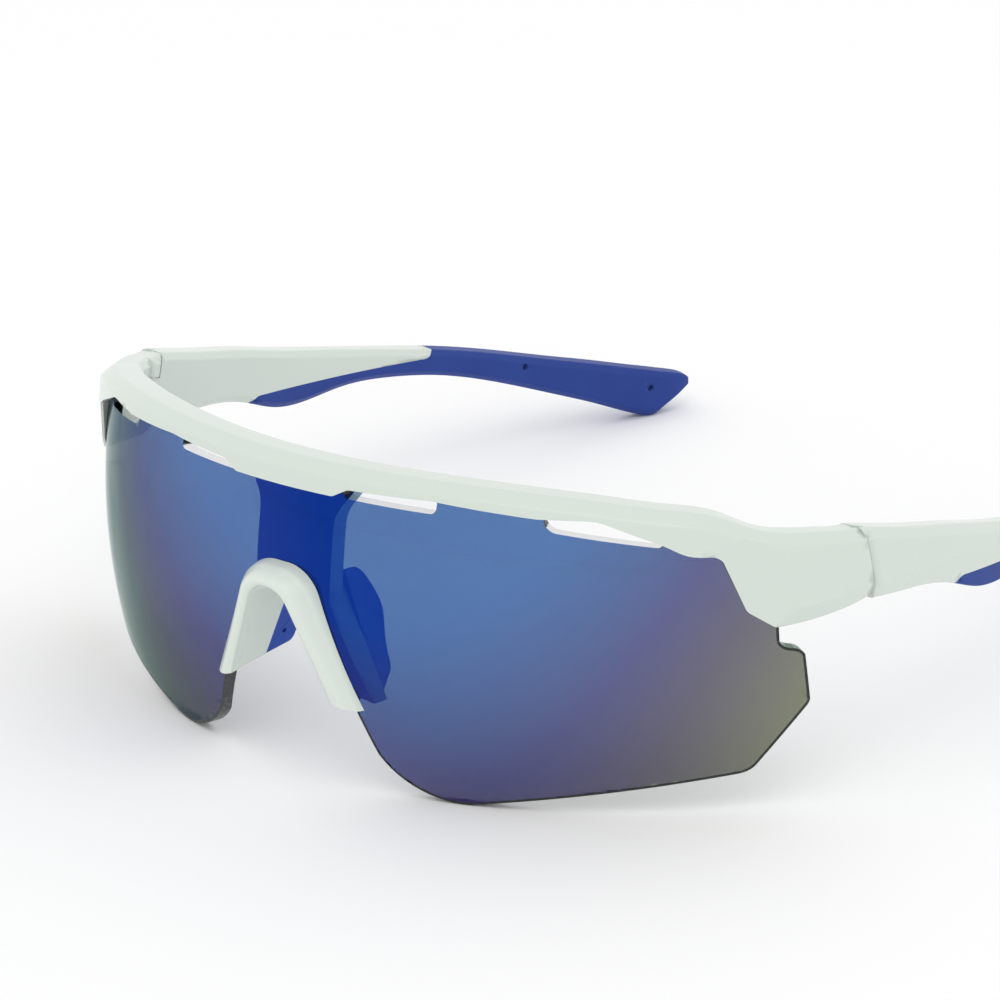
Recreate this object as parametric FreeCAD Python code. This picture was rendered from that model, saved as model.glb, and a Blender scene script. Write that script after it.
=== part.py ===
"""Half-frame shield sunglasses: toric lens, brow frame, nose assembly and two folding temples.

Millimetres. The pieces are drawn with x across the face (wearer's left is +x), y towards the
temple tips and z up, the front of the lens at y = 0. At the end the whole set is tipped back until
the lens and both temple tips stand on z = 0, and centred on the middle of its outer box.
"""

import math
import os

import FreeCAD
import Part

V = FreeCAD.Vector

# Lens: one toric sheet
LENS_RADIUS_ACROSS = 82.7
LENS_RADIUS_UP = 91.4
LENS_MID_HEIGHT = 25.8
LENS_THICKNESS = 2.0
LENS_HALF_ANGLE = 55.06
LENS_BOTTOM = -1.5
LENS_LOWER_CORNER_RADIUS = 14.3
LENS_GROOVE_CLEARANCE = 0.12

# Vent notches in the upper edge of the lens, placed by shares of its half width
VENT_INNER_SHARES = (0.1445, 0.3658)
VENT_OUTER_SHARES = (0.5841, 0.8053)
VENT_DEPTH = 3.1

# Brow frame and end lugs
BROW_LIP = 2.0
BROW_BACK_WALL = 2.1
BROW_TOP = 49.4
BROW_HEIGHT = 4.2
BROW_ROOF = 1.7
LUG_HEIGHT = 19.8
LUG_TURN_RADIUS = 33.3
LUG_TURN_LEAD = 9.06
LUG_BEVEL = 1.2
LUG_FLAT = 0.35
BROW_TOP_BEVEL = 1.5

# Temples
TEMPLE_SPLAY = 6.3
TEMPLE_BOW_RADIUS = 219.0
TEMPLE_LENGTH = 119.3
TEMPLE_OUTER = 2.0
TEMPLE_INNER = 3.6
TIP_START_SHARE = 0.18
TIP_FULL_SHARE = 0.558
TIP_CORE_THICKNESS = 1.6
TIP_CORE_HEIGHT = 3.2
MOULD_MARK_RADIUS = 0.55
MOULD_MARK_DEPTH = 0.8

# Hinge
HINGE_TILT = 13.5
PIN_RADIUS = 0.8
PIN_HEAD_RADIUS = 1.4
PIN_HEAD_HEIGHT = 0.9
PIN_RUNNING_CLEARANCE = 0.04
KNUCKLE_RADIUS = 2.2
KNUCKLE_HEIGHT = 4.6
HINGE_GAP = 0.15
SWING_GAP = 0.3
BARREL_RADIUS = 2.3
PIN_INSET = 1.95
PIN_AHEAD = 3.9
SEAM_SLANT = 15.0

# Nose bridge, strut and pads
NOSE_HALF_ANGLE = 23.0
NOSE_CENTRE = 26.8
NOSE_BOTTOM = 14.6
NOSE_FOOT_RISE = 8.0
NOSE_FOOT_DROP = 15.0
NOSE_WALL = 2.05
NOSE_INNER_RADIUS = 4.0
NOSE_LENS_CLEARANCE = 0.15
NOSE_FLANGE_OVERLAP = 1.45
NOSE_FLANGE_TOP_OVERLAP = 0.75
NOSE_FLANGE_CORNER_RADIUS = 6.5
NOSE_FLANGE_LEAN = 4.4
NOSE_FLANGE_GAP = 0.1
NOSE_RIDGE = 3.9
NOSE_RIDGE_LEAN = 11.0
NOSE_WALL_BACK = 6.4
STRUT_HALF_WIDTH = 7.0
STRUT_THICKNESS = 2.8
STRUT_FLARE = 3.0
SADDLE_WALL = 0.8
SADDLE_FOOT_WALL = 2.2
SADDLE_SPREAD = 27.0
TENON_HALF_WIDTH = 5.0
TENON_THICKNESS = 0.9
TENON_HEIGHT = 1.6
PAD_THICKNESS = 2.6
PAD_LENGTH = 7.9
PAD_TOP = 31.6

LENS_HALF_WIDTH = LENS_RADIUS_ACROSS * math.sin(math.radians(LENS_HALF_ANGLE))
VENT_INNER_START, VENT_INNER_END = (share * LENS_HALF_WIDTH for share in VENT_INNER_SHARES)
VENT_OUTER_START, VENT_OUTER_END = (share * LENS_HALF_WIDTH for share in VENT_OUTER_SHARES)
BROW_LOWER_EDGE = BROW_TOP - BROW_HEIGHT
LUG_BOTTOM = BROW_TOP - LUG_HEIGHT
LUG_TURN_START = LENS_HALF_ANGLE - LUG_TURN_LEAD
TIP_START = TIP_START_SHARE * TEMPLE_LENGTH
TIP_FULL = TIP_FULL_SHARE * TEMPLE_LENGTH
NOSE_OUTER_RADIUS = NOSE_INNER_RADIUS + NOSE_WALL
LENS_CUT_RADIUS = NOSE_OUTER_RADIUS + NOSE_LENS_CLEARANCE
BROW_INNER = LENS_THICKNESS + LENS_GROOVE_CLEARANCE + BROW_BACK_WALL


def rounded_wire(corners, place):
    """Closed wire through 2-D corners (u, v, radius), each rounded; place maps (u, v) to space."""
    edges = []
    ends = []
    count = len(corners)
    for i in range(count):
        u0, v0, _ = corners[i - 1]
        u1, v1, radius = corners[i]
        u2, v2, _ = corners[(i + 1) % count]
        back = FreeCAD.Vector(u0 - u1, v0 - v1, 0).normalize()
        ahead = FreeCAD.Vector(u2 - u1, v2 - v1, 0).normalize()
        corner = FreeCAD.Vector(u1, v1, 0)
        if radius <= 0:
            ends.append((corner, corner, None))
            continue
        half = back.getAngle(ahead) / 2.0
        reach = radius / math.tan(half)
        middle = (back + ahead).normalize()
        centre = corner + middle * (radius / math.sin(half))
        ends.append((corner + back * reach, corner + ahead * reach, centre - middle * radius))
    for i in range(count):
        start, stop, middle = ends[i]
        if middle is not None:
            arc = Part.Arc(place(start.x, start.y), place(middle.x, middle.y), place(stop.x, stop.y))
            edges.append(arc.toShape())
        following = ends[(i + 1) % count][0]
        if (following - stop).Length > 1e-6:
            edges.append(Part.makeLine(place(stop.x, stop.y), place(following.x, following.y)))
    return Part.Wire(edges)


def front_prism(corners, y_from=-30.0, y_to=90.0):
    """Solid with a front-view outline (x, z, radius), running straight back along y."""
    wire = rounded_wire(corners, lambda u, v: V(u, y_from, v))
    return Part.Face(wire).extrude(V(0, y_to - y_from, 0))


def side_prism(corners, x_from, x_to):
    """Solid with a side-view outline (y, z, radius), running straight across along x."""
    wire = rounded_wire(corners, lambda u, v: V(x_from, u, v))
    return Part.Face(wire).extrude(V(x_to - x_from, 0, 0))


def radial_wire(corners, y):
    """The outline that a front-view outline on the lens front casts on a plane, from the lens axis."""
    reach = LENS_RADIUS_ACROSS - y
    edges = []
    for edge in rounded_wire(corners, lambda u, v: V(u, 0, v)).Edges:
        points = []
        for i in range(9):
            at = edge.valueAt(edge.FirstParameter + (edge.LastParameter - edge.FirstParameter) * i / 8.0)
            angle = math.asin(at.x / LENS_RADIUS_ACROSS)
            points.append(V(reach * math.tan(angle), y, at.z))
        if edge.Orientation == "Reversed":
            points.reverse()
        curve = Part.BSplineCurve()
        curve.interpolate(points)
        edges.append(curve.toShape())
    return Part.Wire(edges)


def radial_prism(corners):
    """Solid with a front-view outline on the lens front, its walls square to the lens in plan."""
    ends = (-0.06 * LENS_RADIUS_ACROSS, 0.75 * LENS_RADIUS_ACROSS)
    return Part.makeLoft([radial_wire(corners, y) for y in ends], True, True)


def mirror(shape):
    """The same piece on the other side of the face."""
    return shape.mirror(V(0, 0, 0), V(1, 0, 0))


def lens_back_at(z, offset):
    """How far back of the lens front the surface at this offset stands, on the centre line."""
    reach = LENS_RADIUS_UP + offset
    rise = z - LENS_MID_HEIGHT
    return LENS_RADIUS_UP - math.sqrt(reach * reach - rise * rise)


def lens_sheet(outer, inner):
    """Toric sheet between two offsets from the lens front, positive towards the front."""
    low = LENS_BOTTOM - 12.5
    high = BROW_TOP + 12.6
    mid = (low + high) / 2.0

    def point(z, offset):
        return V(0, lens_back_at(z, offset), z)

    front = Part.Arc(point(low, outer), point(mid, outer), point(high, outer)).toShape()
    back = Part.Arc(point(high, inner), point(mid, inner), point(low, inner)).toShape()
    top = Part.makeLine(point(high, outer), point(high, inner))
    bottom = Part.makeLine(point(low, inner), point(low, outer))
    face = Part.Face(Part.Wire([front, top, back, bottom]))
    axis = V(0, LENS_RADIUS_ACROSS, 0)
    spread = LENS_HALF_ANGLE + LUG_TURN_LEAD
    face.rotate(axis, V(0, 0, 1), -spread)
    return face.revolve(axis, V(0, 0, 1), 2.0 * spread)


def brow_top_drop(x):
    """How far the top of the brow has come down at this distance from the centre line."""
    share = min(abs(x) / LENS_HALF_WIDTH, 1.0)
    return 5.6 * share ** 4 + 0.35 * share * share


def lens_outline(grow):
    """Front-view outline of the lens; grow widens only the edges held by the brow frame."""
    slope = math.radians(NOSE_HALF_ANGLE)
    peak = NOSE_CENTRE + LENS_CUT_RADIUS / math.sin(slope)
    low_x = (peak - LENS_BOTTOM) * math.tan(slope)
    top = BROW_TOP - BROW_ROOF + grow
    edge = LENS_HALF_WIDTH
    notch = LUG_BOTTOM - 2.7
    corner = notch - 8.7
    half = [
        (0.0, peak, LENS_CUT_RADIUS),
        (low_x, LENS_BOTTOM, LENS_LOWER_CORNER_RADIUS),
        (edge - 4.9, LENS_BOTTOM + 0.467 * (corner - LENS_BOTTOM), 2.2),
        (edge + 0.15, corner, 2.2),
        (edge - 0.5, notch - 0.65, 1.3),
        (edge - 2.7 + grow, notch, 1.2),
        (edge - 2.9 + grow, LUG_BOTTOM + 3.4, 2.0),
        (edge - 6.2 + grow, BROW_TOP - 8.2 + grow, 3.0),
        (0.777 * edge, top - brow_top_drop(0.777 * edge), 6.0),
        (0.513 * edge, top - brow_top_drop(0.5 * edge), 30.0),
        (0.0, top, 0.0),
    ]
    left = [(-x, z, r) for x, z, r in reversed(half[1:-1])]
    return half + left


def vent_cutters():
    """The two notches in the upper lens edge on the +x side."""
    floor = BROW_TOP - BROW_ROOF - VENT_DEPTH
    above = BROW_TOP + 10.6
    inner = radial_prism([
        (VENT_INNER_START, above, 0.0),
        (VENT_INNER_START, floor, 1.0),
        (VENT_INNER_END, floor - 0.2, 0.9),
        (VENT_INNER_END + 0.6, above, 0.0),
    ])
    outer = radial_prism([
        (VENT_OUTER_START - 0.4, above, 0.0),
        (VENT_OUTER_START, floor - 1.1, 1.9),
        (VENT_OUTER_END - 1.0, floor - 3.0, 0.6),
        (VENT_OUTER_END, above, 0.0),
    ])
    return [inner, outer]


def nose_cutter():
    """Straight passage through the lens for the nose bridge."""
    slope = math.radians(NOSE_HALF_ANGLE)
    peak = NOSE_CENTRE + LENS_CUT_RADIUS / math.sin(slope)
    low = LENS_BOTTOM - 5.0
    wide = (peak - low) * math.tan(slope)
    return front_prism([(-wide, low, 0.0), (0.0, peak, LENS_CUT_RADIUS), (wide, low, 0.0)])


def make_lens():
    """Shield lens: toric sheet cut to its outline, with four vent notches."""
    sheet = lens_sheet(0.0, -LENS_THICKNESS)
    lens = sheet.common(radial_prism(lens_outline(0.0))).cut(nose_cutter())
    for cutter in vent_cutters():
        lens = lens.cut(cutter)
        lens = lens.cut(mirror(cutter))
    return lens


def path_point(kind, value):
    """Point and heading on the plan line that lens, lug and temple follow.

    kind "lens" takes the angle round the lens axis, "lug" the heading while the lug turns back,
    "temple" the distance behind the end of the lug.
    """
    start = math.radians(LUG_TURN_START)
    x = LENS_RADIUS_ACROSS * math.sin(start)
    y = LENS_RADIUS_ACROSS * (1.0 - math.cos(start))
    if kind == "lens":
        angle = math.radians(value)
        x = LENS_RADIUS_ACROSS * math.sin(angle)
        y = LENS_RADIUS_ACROSS * (1.0 - math.cos(angle))
        return x, y, math.pi / 2.0 - angle
    first = math.pi / 2.0 - start
    last = math.radians(TEMPLE_SPLAY)
    heading = last
    if kind == "lug":
        heading = math.radians(value)
    x += LUG_TURN_RADIUS * (math.cos(heading) - math.cos(first))
    y += LUG_TURN_RADIUS * (math.sin(first) - math.sin(heading))
    if kind == "lug":
        return x, y, heading
    turned = last - value / TEMPLE_BOW_RADIUS
    x += TEMPLE_BOW_RADIUS * (math.cos(turned) - math.cos(last))
    y += TEMPLE_BOW_RADIUS * (math.sin(last) - math.sin(turned))
    return x, y, turned


def section(kind, value, outline, lean):
    """Closed section across the path; outline holds (outward, z, radius) corners."""
    x, y, heading = path_point(kind, value)
    out_x = math.cos(heading)
    out_y = -math.sin(heading)

    def place(u, v):
        push = u - lean * lens_back_at(v, 0.0)
        return V(x + push * out_x, y + push * out_y, v)

    return rounded_wire(outline, place)


def bar_outline(outer, inner, top, bottom, upper, lower, bevels, soften):
    """Eight-sided bar section: outer face with an upper and a lower bevel, eased inner corners."""
    low_bevel, top_bevel = bevels
    ease = 0.9 * soften
    return [
        (outer - low_bevel, bottom, 0.5 * soften),
        (outer, lower, 0.7 * soften),
        (outer, upper, 0.7 * soften),
        (outer - top_bevel, top, 0.7 * soften),
        (-inner + ease, top - 0.15 * soften, 0.6 * soften),
        (-inner, top - 1.3 * soften, 0.6 * soften),
        (-inner, bottom + 1.0 * soften, 0.5 * soften),
        (-inner + ease, bottom, 0.5 * soften),
    ]


def lug_sections():
    """Sections of the band on the +x side, from the centre line out to past the hinge seam."""
    rows = []
    for share in (0.0, 0.174, 0.348, 0.522, 0.652, 0.761, 0.87, 1.0):
        angle = share * LUG_TURN_START
        x = path_point("lens", angle)[0]
        top = BROW_TOP - brow_top_drop(x)
        outline = bar_outline(BROW_LIP, BROW_INNER, top, LUG_BOTTOM, top - 1.6, LUG_BOTTOM + 2.6,
                              (LUG_BEVEL, BROW_TOP_BEVEL), 1.0)
        rows.append(section("lens", angle, outline, 1.0))
    joint = BROW_TOP - brow_top_drop(path_point("lens", LUG_TURN_START)[0])
    hinge_top = BROW_TOP - 7.4
    steps = ((0.25, 0.85, 0.5), (0.5, 0.6, 0.74), (0.75, 0.35, 0.88), (1.0, 0.1, 1.0))
    for share, lean, fall in steps:
        heading = 90.0 - LUG_TURN_START
        heading += (TEMPLE_SPLAY - heading) * share
        top = joint + (hinge_top - joint) * fall
        bottom = LUG_BOTTOM + 1.4 * share * share
        inner = BROW_INNER + (TEMPLE_INNER - BROW_INNER) * share
        outline = bar_outline(BROW_LIP + (TEMPLE_OUTER - BROW_LIP) * share, inner, top, bottom,
                              top - 1.4, bottom + 2.7, (LUG_BEVEL, BROW_TOP_BEVEL), 1.0)
        rows.append(section("lug", heading, outline, lean))
    rows.append(temple_section(8.0, hinge_top))
    return rows


TEMPLE_STATIONS = (
    # share of length, drop of top edge, height, crease share, outer trim, inner trim, softness
    (-0.067, -1.7, 11.5, 0.24, 0.0, 0.0, 1.0),
    (0.0, 0.0, 11.0, 0.25, 0.0, 0.0, 1.0),
    (0.067, 1.8, 9.9, 0.30, 0.0, 0.1, 1.0),
    (0.128, 3.4, 9.0, 0.38, 0.05, 0.25, 1.0),
    (0.185, 4.85, 9.2, 0.48, 0.1, 0.4, 1.0),
    (0.241, 6.5, 9.9, 0.60, 0.2, 0.5, 1.0),
    (0.298, 8.0, 9.1, 0.64, 0.25, 0.6, 1.0),
    (0.380, 10.0, 6.5, 0.64, 0.3, 0.75, 1.0),
    (0.472, 12.2, 5.0, 0.62, 0.25, 0.8, 0.9),
    (0.565, 14.4, 4.7, 0.6, 0.15, 0.75, 0.9),
    (0.657, 17.0, 5.2, 0.6, 0.05, 0.7, 0.9),
    (0.770, 20.5, 6.4, 0.6, 0.0, 0.65, 1.0),
    (0.842, 22.6, 7.4, 0.6, 0.0, 0.6, 1.0),
    (0.916, 24.8, 8.5, 0.6, 0.1, 0.65, 1.0),
    (0.937, 25.4, 8.2, 0.58, 0.2, 0.75, 0.9),
    (0.957, 26.0, 6.4, 0.55, 0.4, 0.95, 0.75),
    (0.976, 26.55, 4.5, 0.53, 0.75, 1.3, 0.5),
    (0.990, 27.1, 2.9, 0.52, 1.2, 1.75, 0.32),
    (1.0, 27.9, 1.4, 0.5, 1.75, 2.3, 0.16),
)


def temple_row(row, hinge_top):
    """One temple section from a station row."""
    share, drop, height, crease, outer_trim, inner_trim, soften = row
    top = hinge_top - drop
    bottom = top - height
    lower = bottom + height * crease
    upper = top - 1.4 * soften
    bevels = (LUG_BEVEL * soften, (BROW_TOP_BEVEL - 0.3) * soften)
    outline = bar_outline(TEMPLE_OUTER - outer_trim, TEMPLE_INNER - inner_trim, top, bottom,
                          upper, lower, bevels, soften)
    lean = 0.1 * max(0.0, 1.0 - max(share, 0.0) * 4.0)
    return section("temple", share * TEMPLE_LENGTH, outline, lean)


def temple_section(distance, hinge_top):
    """Temple section at a distance behind the lug end, between the first stations."""
    first, second = TEMPLE_STATIONS[1], TEMPLE_STATIONS[2]
    part = distance / (second[0] * TEMPLE_LENGTH)
    row = tuple(a + (b - a) * part for a, b in zip(first, second))
    return temple_row(row, hinge_top)


def make_band():
    """The full-height band that brow bar and lugs are cut from."""
    right = lug_sections()
    left = [mirror(wire) for wire in reversed(right[1:])]
    return Part.makeLoft(left + right, True, False)


def window_cutter(prism):
    """Everything below the brow's lower edge and inside the lugs, as a straight or a radial prism."""
    low = BROW_LOWER_EDGE
    edge = LENS_HALF_WIDTH
    half = [
        (VENT_INNER_START - 0.6, low, 1.0),
        (VENT_INNER_START + 1.9, low + 1.3, 1.5),
        (VENT_INNER_END, low + 1.6, 6.0),
        (VENT_OUTER_START - 0.8, low + 0.5, 6.0),
        ((VENT_OUTER_START + VENT_OUTER_END) / 2.0 - 0.9, low + 0.6, 6.0),
        (VENT_OUTER_END - 1.1, low - 2.6, 4.0),
        ((VENT_OUTER_END + edge) / 2.0 - 5.0, low - 4.3, 4.0),
        (edge - 8.4, low - 4.4, 1.3),
        (edge - 5.8, LUG_BOTTOM + 2.9, 1.3),
        (edge - 2.6, LUG_BOTTOM - 0.2, 0.0),
        (edge - 2.6, LUG_BOTTOM - 9.0, 0.0),
    ]
    left = [(-x, z, r) for x, z, r in reversed(half)]
    return prism(half + left)


def lug_flat():
    """What leaves the front of the lug on the +x side, so that it thins down towards the lens."""
    angle = math.asin((LENS_HALF_WIDTH - 5.8) / LENS_RADIUS_ACROSS)
    out = V(math.sin(angle), -math.cos(angle), 0)
    along = V(math.cos(angle), math.sin(angle), 0)
    start = V(0, LENS_RADIUS_ACROSS, 0) + out * (LENS_RADIUS_ACROSS + LUG_FLAT)
    low = start - along * 15.0 + V(0, 0, LUG_BOTTOM - 10.0)
    wall = Part.makePolygon([low, low + along * 35.0, low + along * 35.0 + out * 30.0, low + out * 30.0, low])
    return Part.Face(wall).extrude(V(0, 0, BROW_TOP - LUG_BOTTOM + 4.0))


class Hinge:
    """Axis, directions and seam of the hinge on the +x side."""

    def __init__(self):
        x, y, heading = path_point("temple", 0.0)
        tilt = math.radians(HINGE_TILT)
        self.out = V(math.cos(heading), -math.sin(heading), 0)
        self.back = V(math.sin(heading), math.cos(heading), 0)
        self.axis = V(0, math.sin(tilt), math.cos(tilt))
        self.height = BROW_TOP - 12.9
        end = V(x, y, self.height)
        self.pin = end - self.out * PIN_INSET - self.back * PIN_AHEAD
        self.seam = end + self.back * 1.2

    def slab(self, side, along, up, size):
        """Box in hinge directions; each argument is a (from, to) pair measured from the pin."""
        across = self.out
        rise = self.axis
        ahead = rise.cross(across).normalize()
        across = ahead.cross(rise).normalize()
        corner = self.pin + across * side[0] + ahead * along[0] + rise * up[0]
        base = Part.makePolygon([
            corner,
            corner + across * (side[1] - side[0]),
            corner + across * (side[1] - side[0]) + ahead * (along[1] - along[0]),
            corner + ahead * (along[1] - along[0]),
            corner,
        ])
        return Part.Face(base).extrude(rise * (up[1] - up[0]) * size)

    def drum(self, radius, low, high):
        """Cylinder round the pin axis."""
        return Part.makeCylinder(radius, high - low, self.pin + self.axis * low, self.axis)

    def behind_seam(self, gap):
        """Everything behind the slanted outer seam, moved back by gap."""
        slant = math.radians(SEAM_SLANT)
        normal = V(self.back.x, self.back.y, 0).normalize() * math.cos(slant)
        normal = normal + V(0, 0, math.sin(slant))
        start = self.seam + normal * gap
        plane = Part.makePlane(120, 120, V(0, 0, 0), V(0, 0, 1))
        plane.translate(V(-60, -60, 0))
        plane.Placement = FreeCAD.Placement(start, FreeCAD.Rotation(V(0, 0, 1), normal)).multiply(
            plane.Placement)
        return plane.extrude(normal * 160.0)


def lug_end_cutter(hinge):
    """What leaves the band at the hinge: beyond the seam, round the barrel, and the knuckle slot."""
    outer = hinge.slab((0.0, 60.0), (-60.0, 160.0), (-60.0, 60.0), 1.0).common(hinge.behind_seam(0.0))
    swing = TEMPLE_INNER - PIN_INSET + SWING_GAP
    inner = hinge.slab((-60.0, 0.0), (-swing, 160.0), (-60.0, 60.0), 1.0)
    inner = inner.cut(hinge.drum(BARREL_RADIUS, -40.0, 40.0))
    free = KNUCKLE_RADIUS + HINGE_GAP
    half = KNUCKLE_HEIGHT / 2.0 + HINGE_GAP
    slot = hinge.slab((-40.0, free), (-free, 40.0), (-half, half), 1.0)
    return outer.fuse(inner).fuse(slot)


def temple_front_cutter(hinge):
    """What leaves the temple bar at the hinge, apart from its knuckle."""
    outer = hinge.slab((0.0, 60.0), (-60.0, 160.0), (-60.0, 60.0), 1.0).cut(
        hinge.behind_seam(HINGE_GAP))
    inner = hinge.slab((-60.0, 0.0), (-60.0, 0.0), (-60.0, 60.0), 1.0)
    barrel = hinge.drum(BARREL_RADIUS + HINGE_GAP, -40.0, 40.0)
    return outer.fuse(inner).fuse(barrel)


def make_knuckle(hinge):
    """The temple's eye and the neck that joins it to the bar."""
    half = KNUCKLE_HEIGHT / 2.0
    eye = hinge.drum(KNUCKLE_RADIUS, -half, half)
    neck = hinge.slab((-KNUCKLE_RADIUS, KNUCKLE_RADIUS), (0.0, 11.0), (-half, half), 1.0)
    return eye.fuse(neck)


PIN_LOW = -(KNUCKLE_HEIGHT / 2.0 + 2.6)
PIN_HIGH = KNUCKLE_HEIGHT / 2.0 + 1.9


def make_screw(hinge):
    """Hinge screw: plain pin with a slotted head, put in from below."""
    pin = hinge.drum(PIN_RADIUS, PIN_LOW, PIN_HIGH)
    head = hinge.drum(PIN_HEAD_RADIUS, PIN_LOW, PIN_LOW + PIN_HEAD_HEIGHT)
    slot = hinge.slab((-4.0, 4.0), (-0.25, 0.25), (PIN_LOW - 1.0, PIN_LOW + 0.4), 1.0)
    return pin.fuse(head).cut(slot).removeSplitter()


def screw_hole(hinge):
    """Hole in the lug for the screw, open below for its head."""
    shank = hinge.drum(PIN_RADIUS, PIN_LOW, PIN_HIGH)
    head = hinge.drum(PIN_HEAD_RADIUS, PIN_LOW - 8.0, PIN_LOW + PIN_HEAD_HEIGHT)
    return shank.fuse(head)


def make_temple_bar(hinge_top):
    """The whole temple shape before it is split into temple and tip."""
    return Part.makeLoft([temple_row(row, hinge_top) for row in TEMPLE_STATIONS], True, False)


def tip_region(hinge_top):
    """Side-view region of the blue tip: a strip along the lower edge that widens to the whole end."""
    y_start = path_point("temple", TIP_START)[1]
    y_full = path_point("temple", TIP_FULL)[1]
    return side_prism([
        (y_start - 5.0, hinge_top - 18.6, 0.0),
        (y_start + 2.2, hinge_top - 13.1, 1.6),
        (y_full - 3.4, hinge_top - 15.2, 2.6),
        (y_full + 0.2, hinge_top - 12.6, 1.8),
        (y_full - 2.6, hinge_top - 4.0, 0.0),
        (3.0 * TEMPLE_LENGTH, hinge_top - 4.0, 0.0),
        (3.0 * TEMPLE_LENGTH, hinge_top - 90.0, 0.0),
        (y_start - 5.0, hinge_top - 90.0, 0.0),
    ], 5.0, 3.0 * LENS_HALF_WIDTH)


def tip_core(hinge_top):
    """White core of the tip: a thin blade inside the rubber, one piece with the temple."""
    rows = []
    for row in TEMPLE_STATIONS[8:13]:
        share, drop, height = row[0], row[1], row[2]
        middle = hinge_top - drop - height * 0.5
        centre = (TEMPLE_OUTER - row[4] - TEMPLE_INNER + row[5]) / 2.0
        half = TIP_CORE_THICKNESS / 2.0
        rise = TIP_CORE_HEIGHT / 2.0
        outline = [
            (centre - half, middle - rise, 0.3),
            (centre + half, middle - rise, 0.3),
            (centre + half, middle + rise, 0.3),
            (centre - half, middle + rise, 0.3),
        ]
        rows.append(section("temple", share * TEMPLE_LENGTH, outline, 0.0))
    return Part.makeLoft(rows, True, False)


def mould_marks(hinge_top):
    """Two small round marks on the inner face of the tip."""
    marks = []
    for share, drop in ((0.7095, 20.5), (0.929, 28.4)):
        x, y, heading = path_point("temple", share * TEMPLE_LENGTH)
        out = V(math.cos(heading), -math.sin(heading), 0)
        inner = TEMPLE_INNER - 0.68
        start = V(x, y, hinge_top - drop) - out * (inner + 2.0)
        marks.append(Part.makeCylinder(MOULD_MARK_RADIUS, 2.0 + MOULD_MARK_DEPTH, start, out))
    return marks


def make_temple_pair(hinge):
    """Temple and its rubber tip on the +x side."""
    hinge_top = BROW_TOP - 7.4
    bar = make_temple_bar(hinge_top)
    region = tip_region(hinge_top)
    core = tip_core(hinge_top)
    body = bar.cut(temple_front_cutter(hinge))
    temple = body.cut(region).fuse(core).fuse(make_knuckle(hinge).common(bar))
    eye = hinge.drum(PIN_RADIUS + PIN_RUNNING_CLEARANCE, -20.0, 20.0)
    temple = temple.cut(eye).removeSplitter()
    tip = bar.common(region).cut(core)
    for mark in mould_marks(hinge_top):
        tip = tip.cut(mark)
    return temple, tip


def make_brow(hinge):
    """Brow frame: bar and lugs with the lens groove, the hinge forks and the strut mortise."""
    brow = make_band().cut(window_cutter(front_prism)).cut(window_cutter(radial_prism))
    slack = LENS_GROOVE_CLEARANCE
    groove = lens_sheet(slack, -LENS_THICKNESS - slack).common(radial_prism(lens_outline(slack)))
    brow = brow.cut(groove)
    end = lug_end_cutter(hinge)
    hole = screw_hole(hinge)
    flat = lug_flat()
    for cutter in (flat, mirror(flat), end, mirror(end), hole, mirror(hole)):
        brow = brow.cut(cutter)
    return brow.cut(tenon(0.05))


def tenon(grow):
    """Tongue on top of the strut, or with grow the mortise for it in the brow's back wall."""
    middle = LENS_THICKNESS + LENS_GROOVE_CLEARANCE + BROW_BACK_WALL / 2.0
    half = TENON_THICKNESS / 2.0 + grow
    wide = TENON_HALF_WIDTH + grow
    low = BROW_LOWER_EDGE - (0.0 if grow else 1.0)
    sheet = lens_sheet(-middle + half, -middle - half)
    high = BROW_LOWER_EDGE + TENON_HEIGHT + grow
    return sheet.common(front_prism([(-wide, low, 0), (wide, low, 0), (wide, high, 0), (-wide, high, 0)]))


def v_peak(radius):
    """Height where the leg lines of the nose arch at this radius would meet."""
    return NOSE_CENTRE + radius / math.sin(math.radians(NOSE_HALF_ANGLE))


def v_wire(radius, place):
    """Outline of the nose arch at this radius, reaching below its feet."""
    low = NOSE_BOTTOM - 8.0
    peak = v_peak(radius)
    wide = (peak - low) * math.tan(math.radians(NOSE_HALF_ANGLE))
    return rounded_wire([(-wide, low, 0.0), (0.0, peak, radius), (wide, low, 0.0)], place)


def v_prism(radius, y_from, y_to):
    """Solid nose arch of this radius, running straight back along y."""
    wire = v_wire(radius, lambda u, v: V(u, y_from, v))
    return Part.Face(wire).extrude(V(0, y_to - y_from, 0))


def foot_cutter():
    """Everything below the feet of nose bridge and saddle, which rise to the back and drop outwards."""
    slope = math.tan(math.radians(NOSE_HALF_ANGLE))
    inner = (v_peak(NOSE_INNER_RADIUS) - NOSE_BOTTOM) * slope
    fall = math.tan(math.radians(NOSE_FOOT_DROP))
    rise = math.tan(math.radians(NOSE_FOOT_RISE))
    reach = 3.0 * inner
    corners = [
        (0.0, NOSE_BOTTOM + inner * fall),
        (reach, NOSE_BOTTOM - (reach - inner) * fall),
        (reach, NOSE_BOTTOM - 60.0),
        (-reach, NOSE_BOTTOM - 60.0),
        (-reach, NOSE_BOTTOM - (reach - inner) * fall),
    ]
    wire = rounded_wire([(x, z, 0.0) for x, z in corners], lambda u, v: V(u, -30.0, v - 30.0 * rise))
    return Part.Face(wire).extrude(V(0, 90.0, 90.0 * rise))


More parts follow.
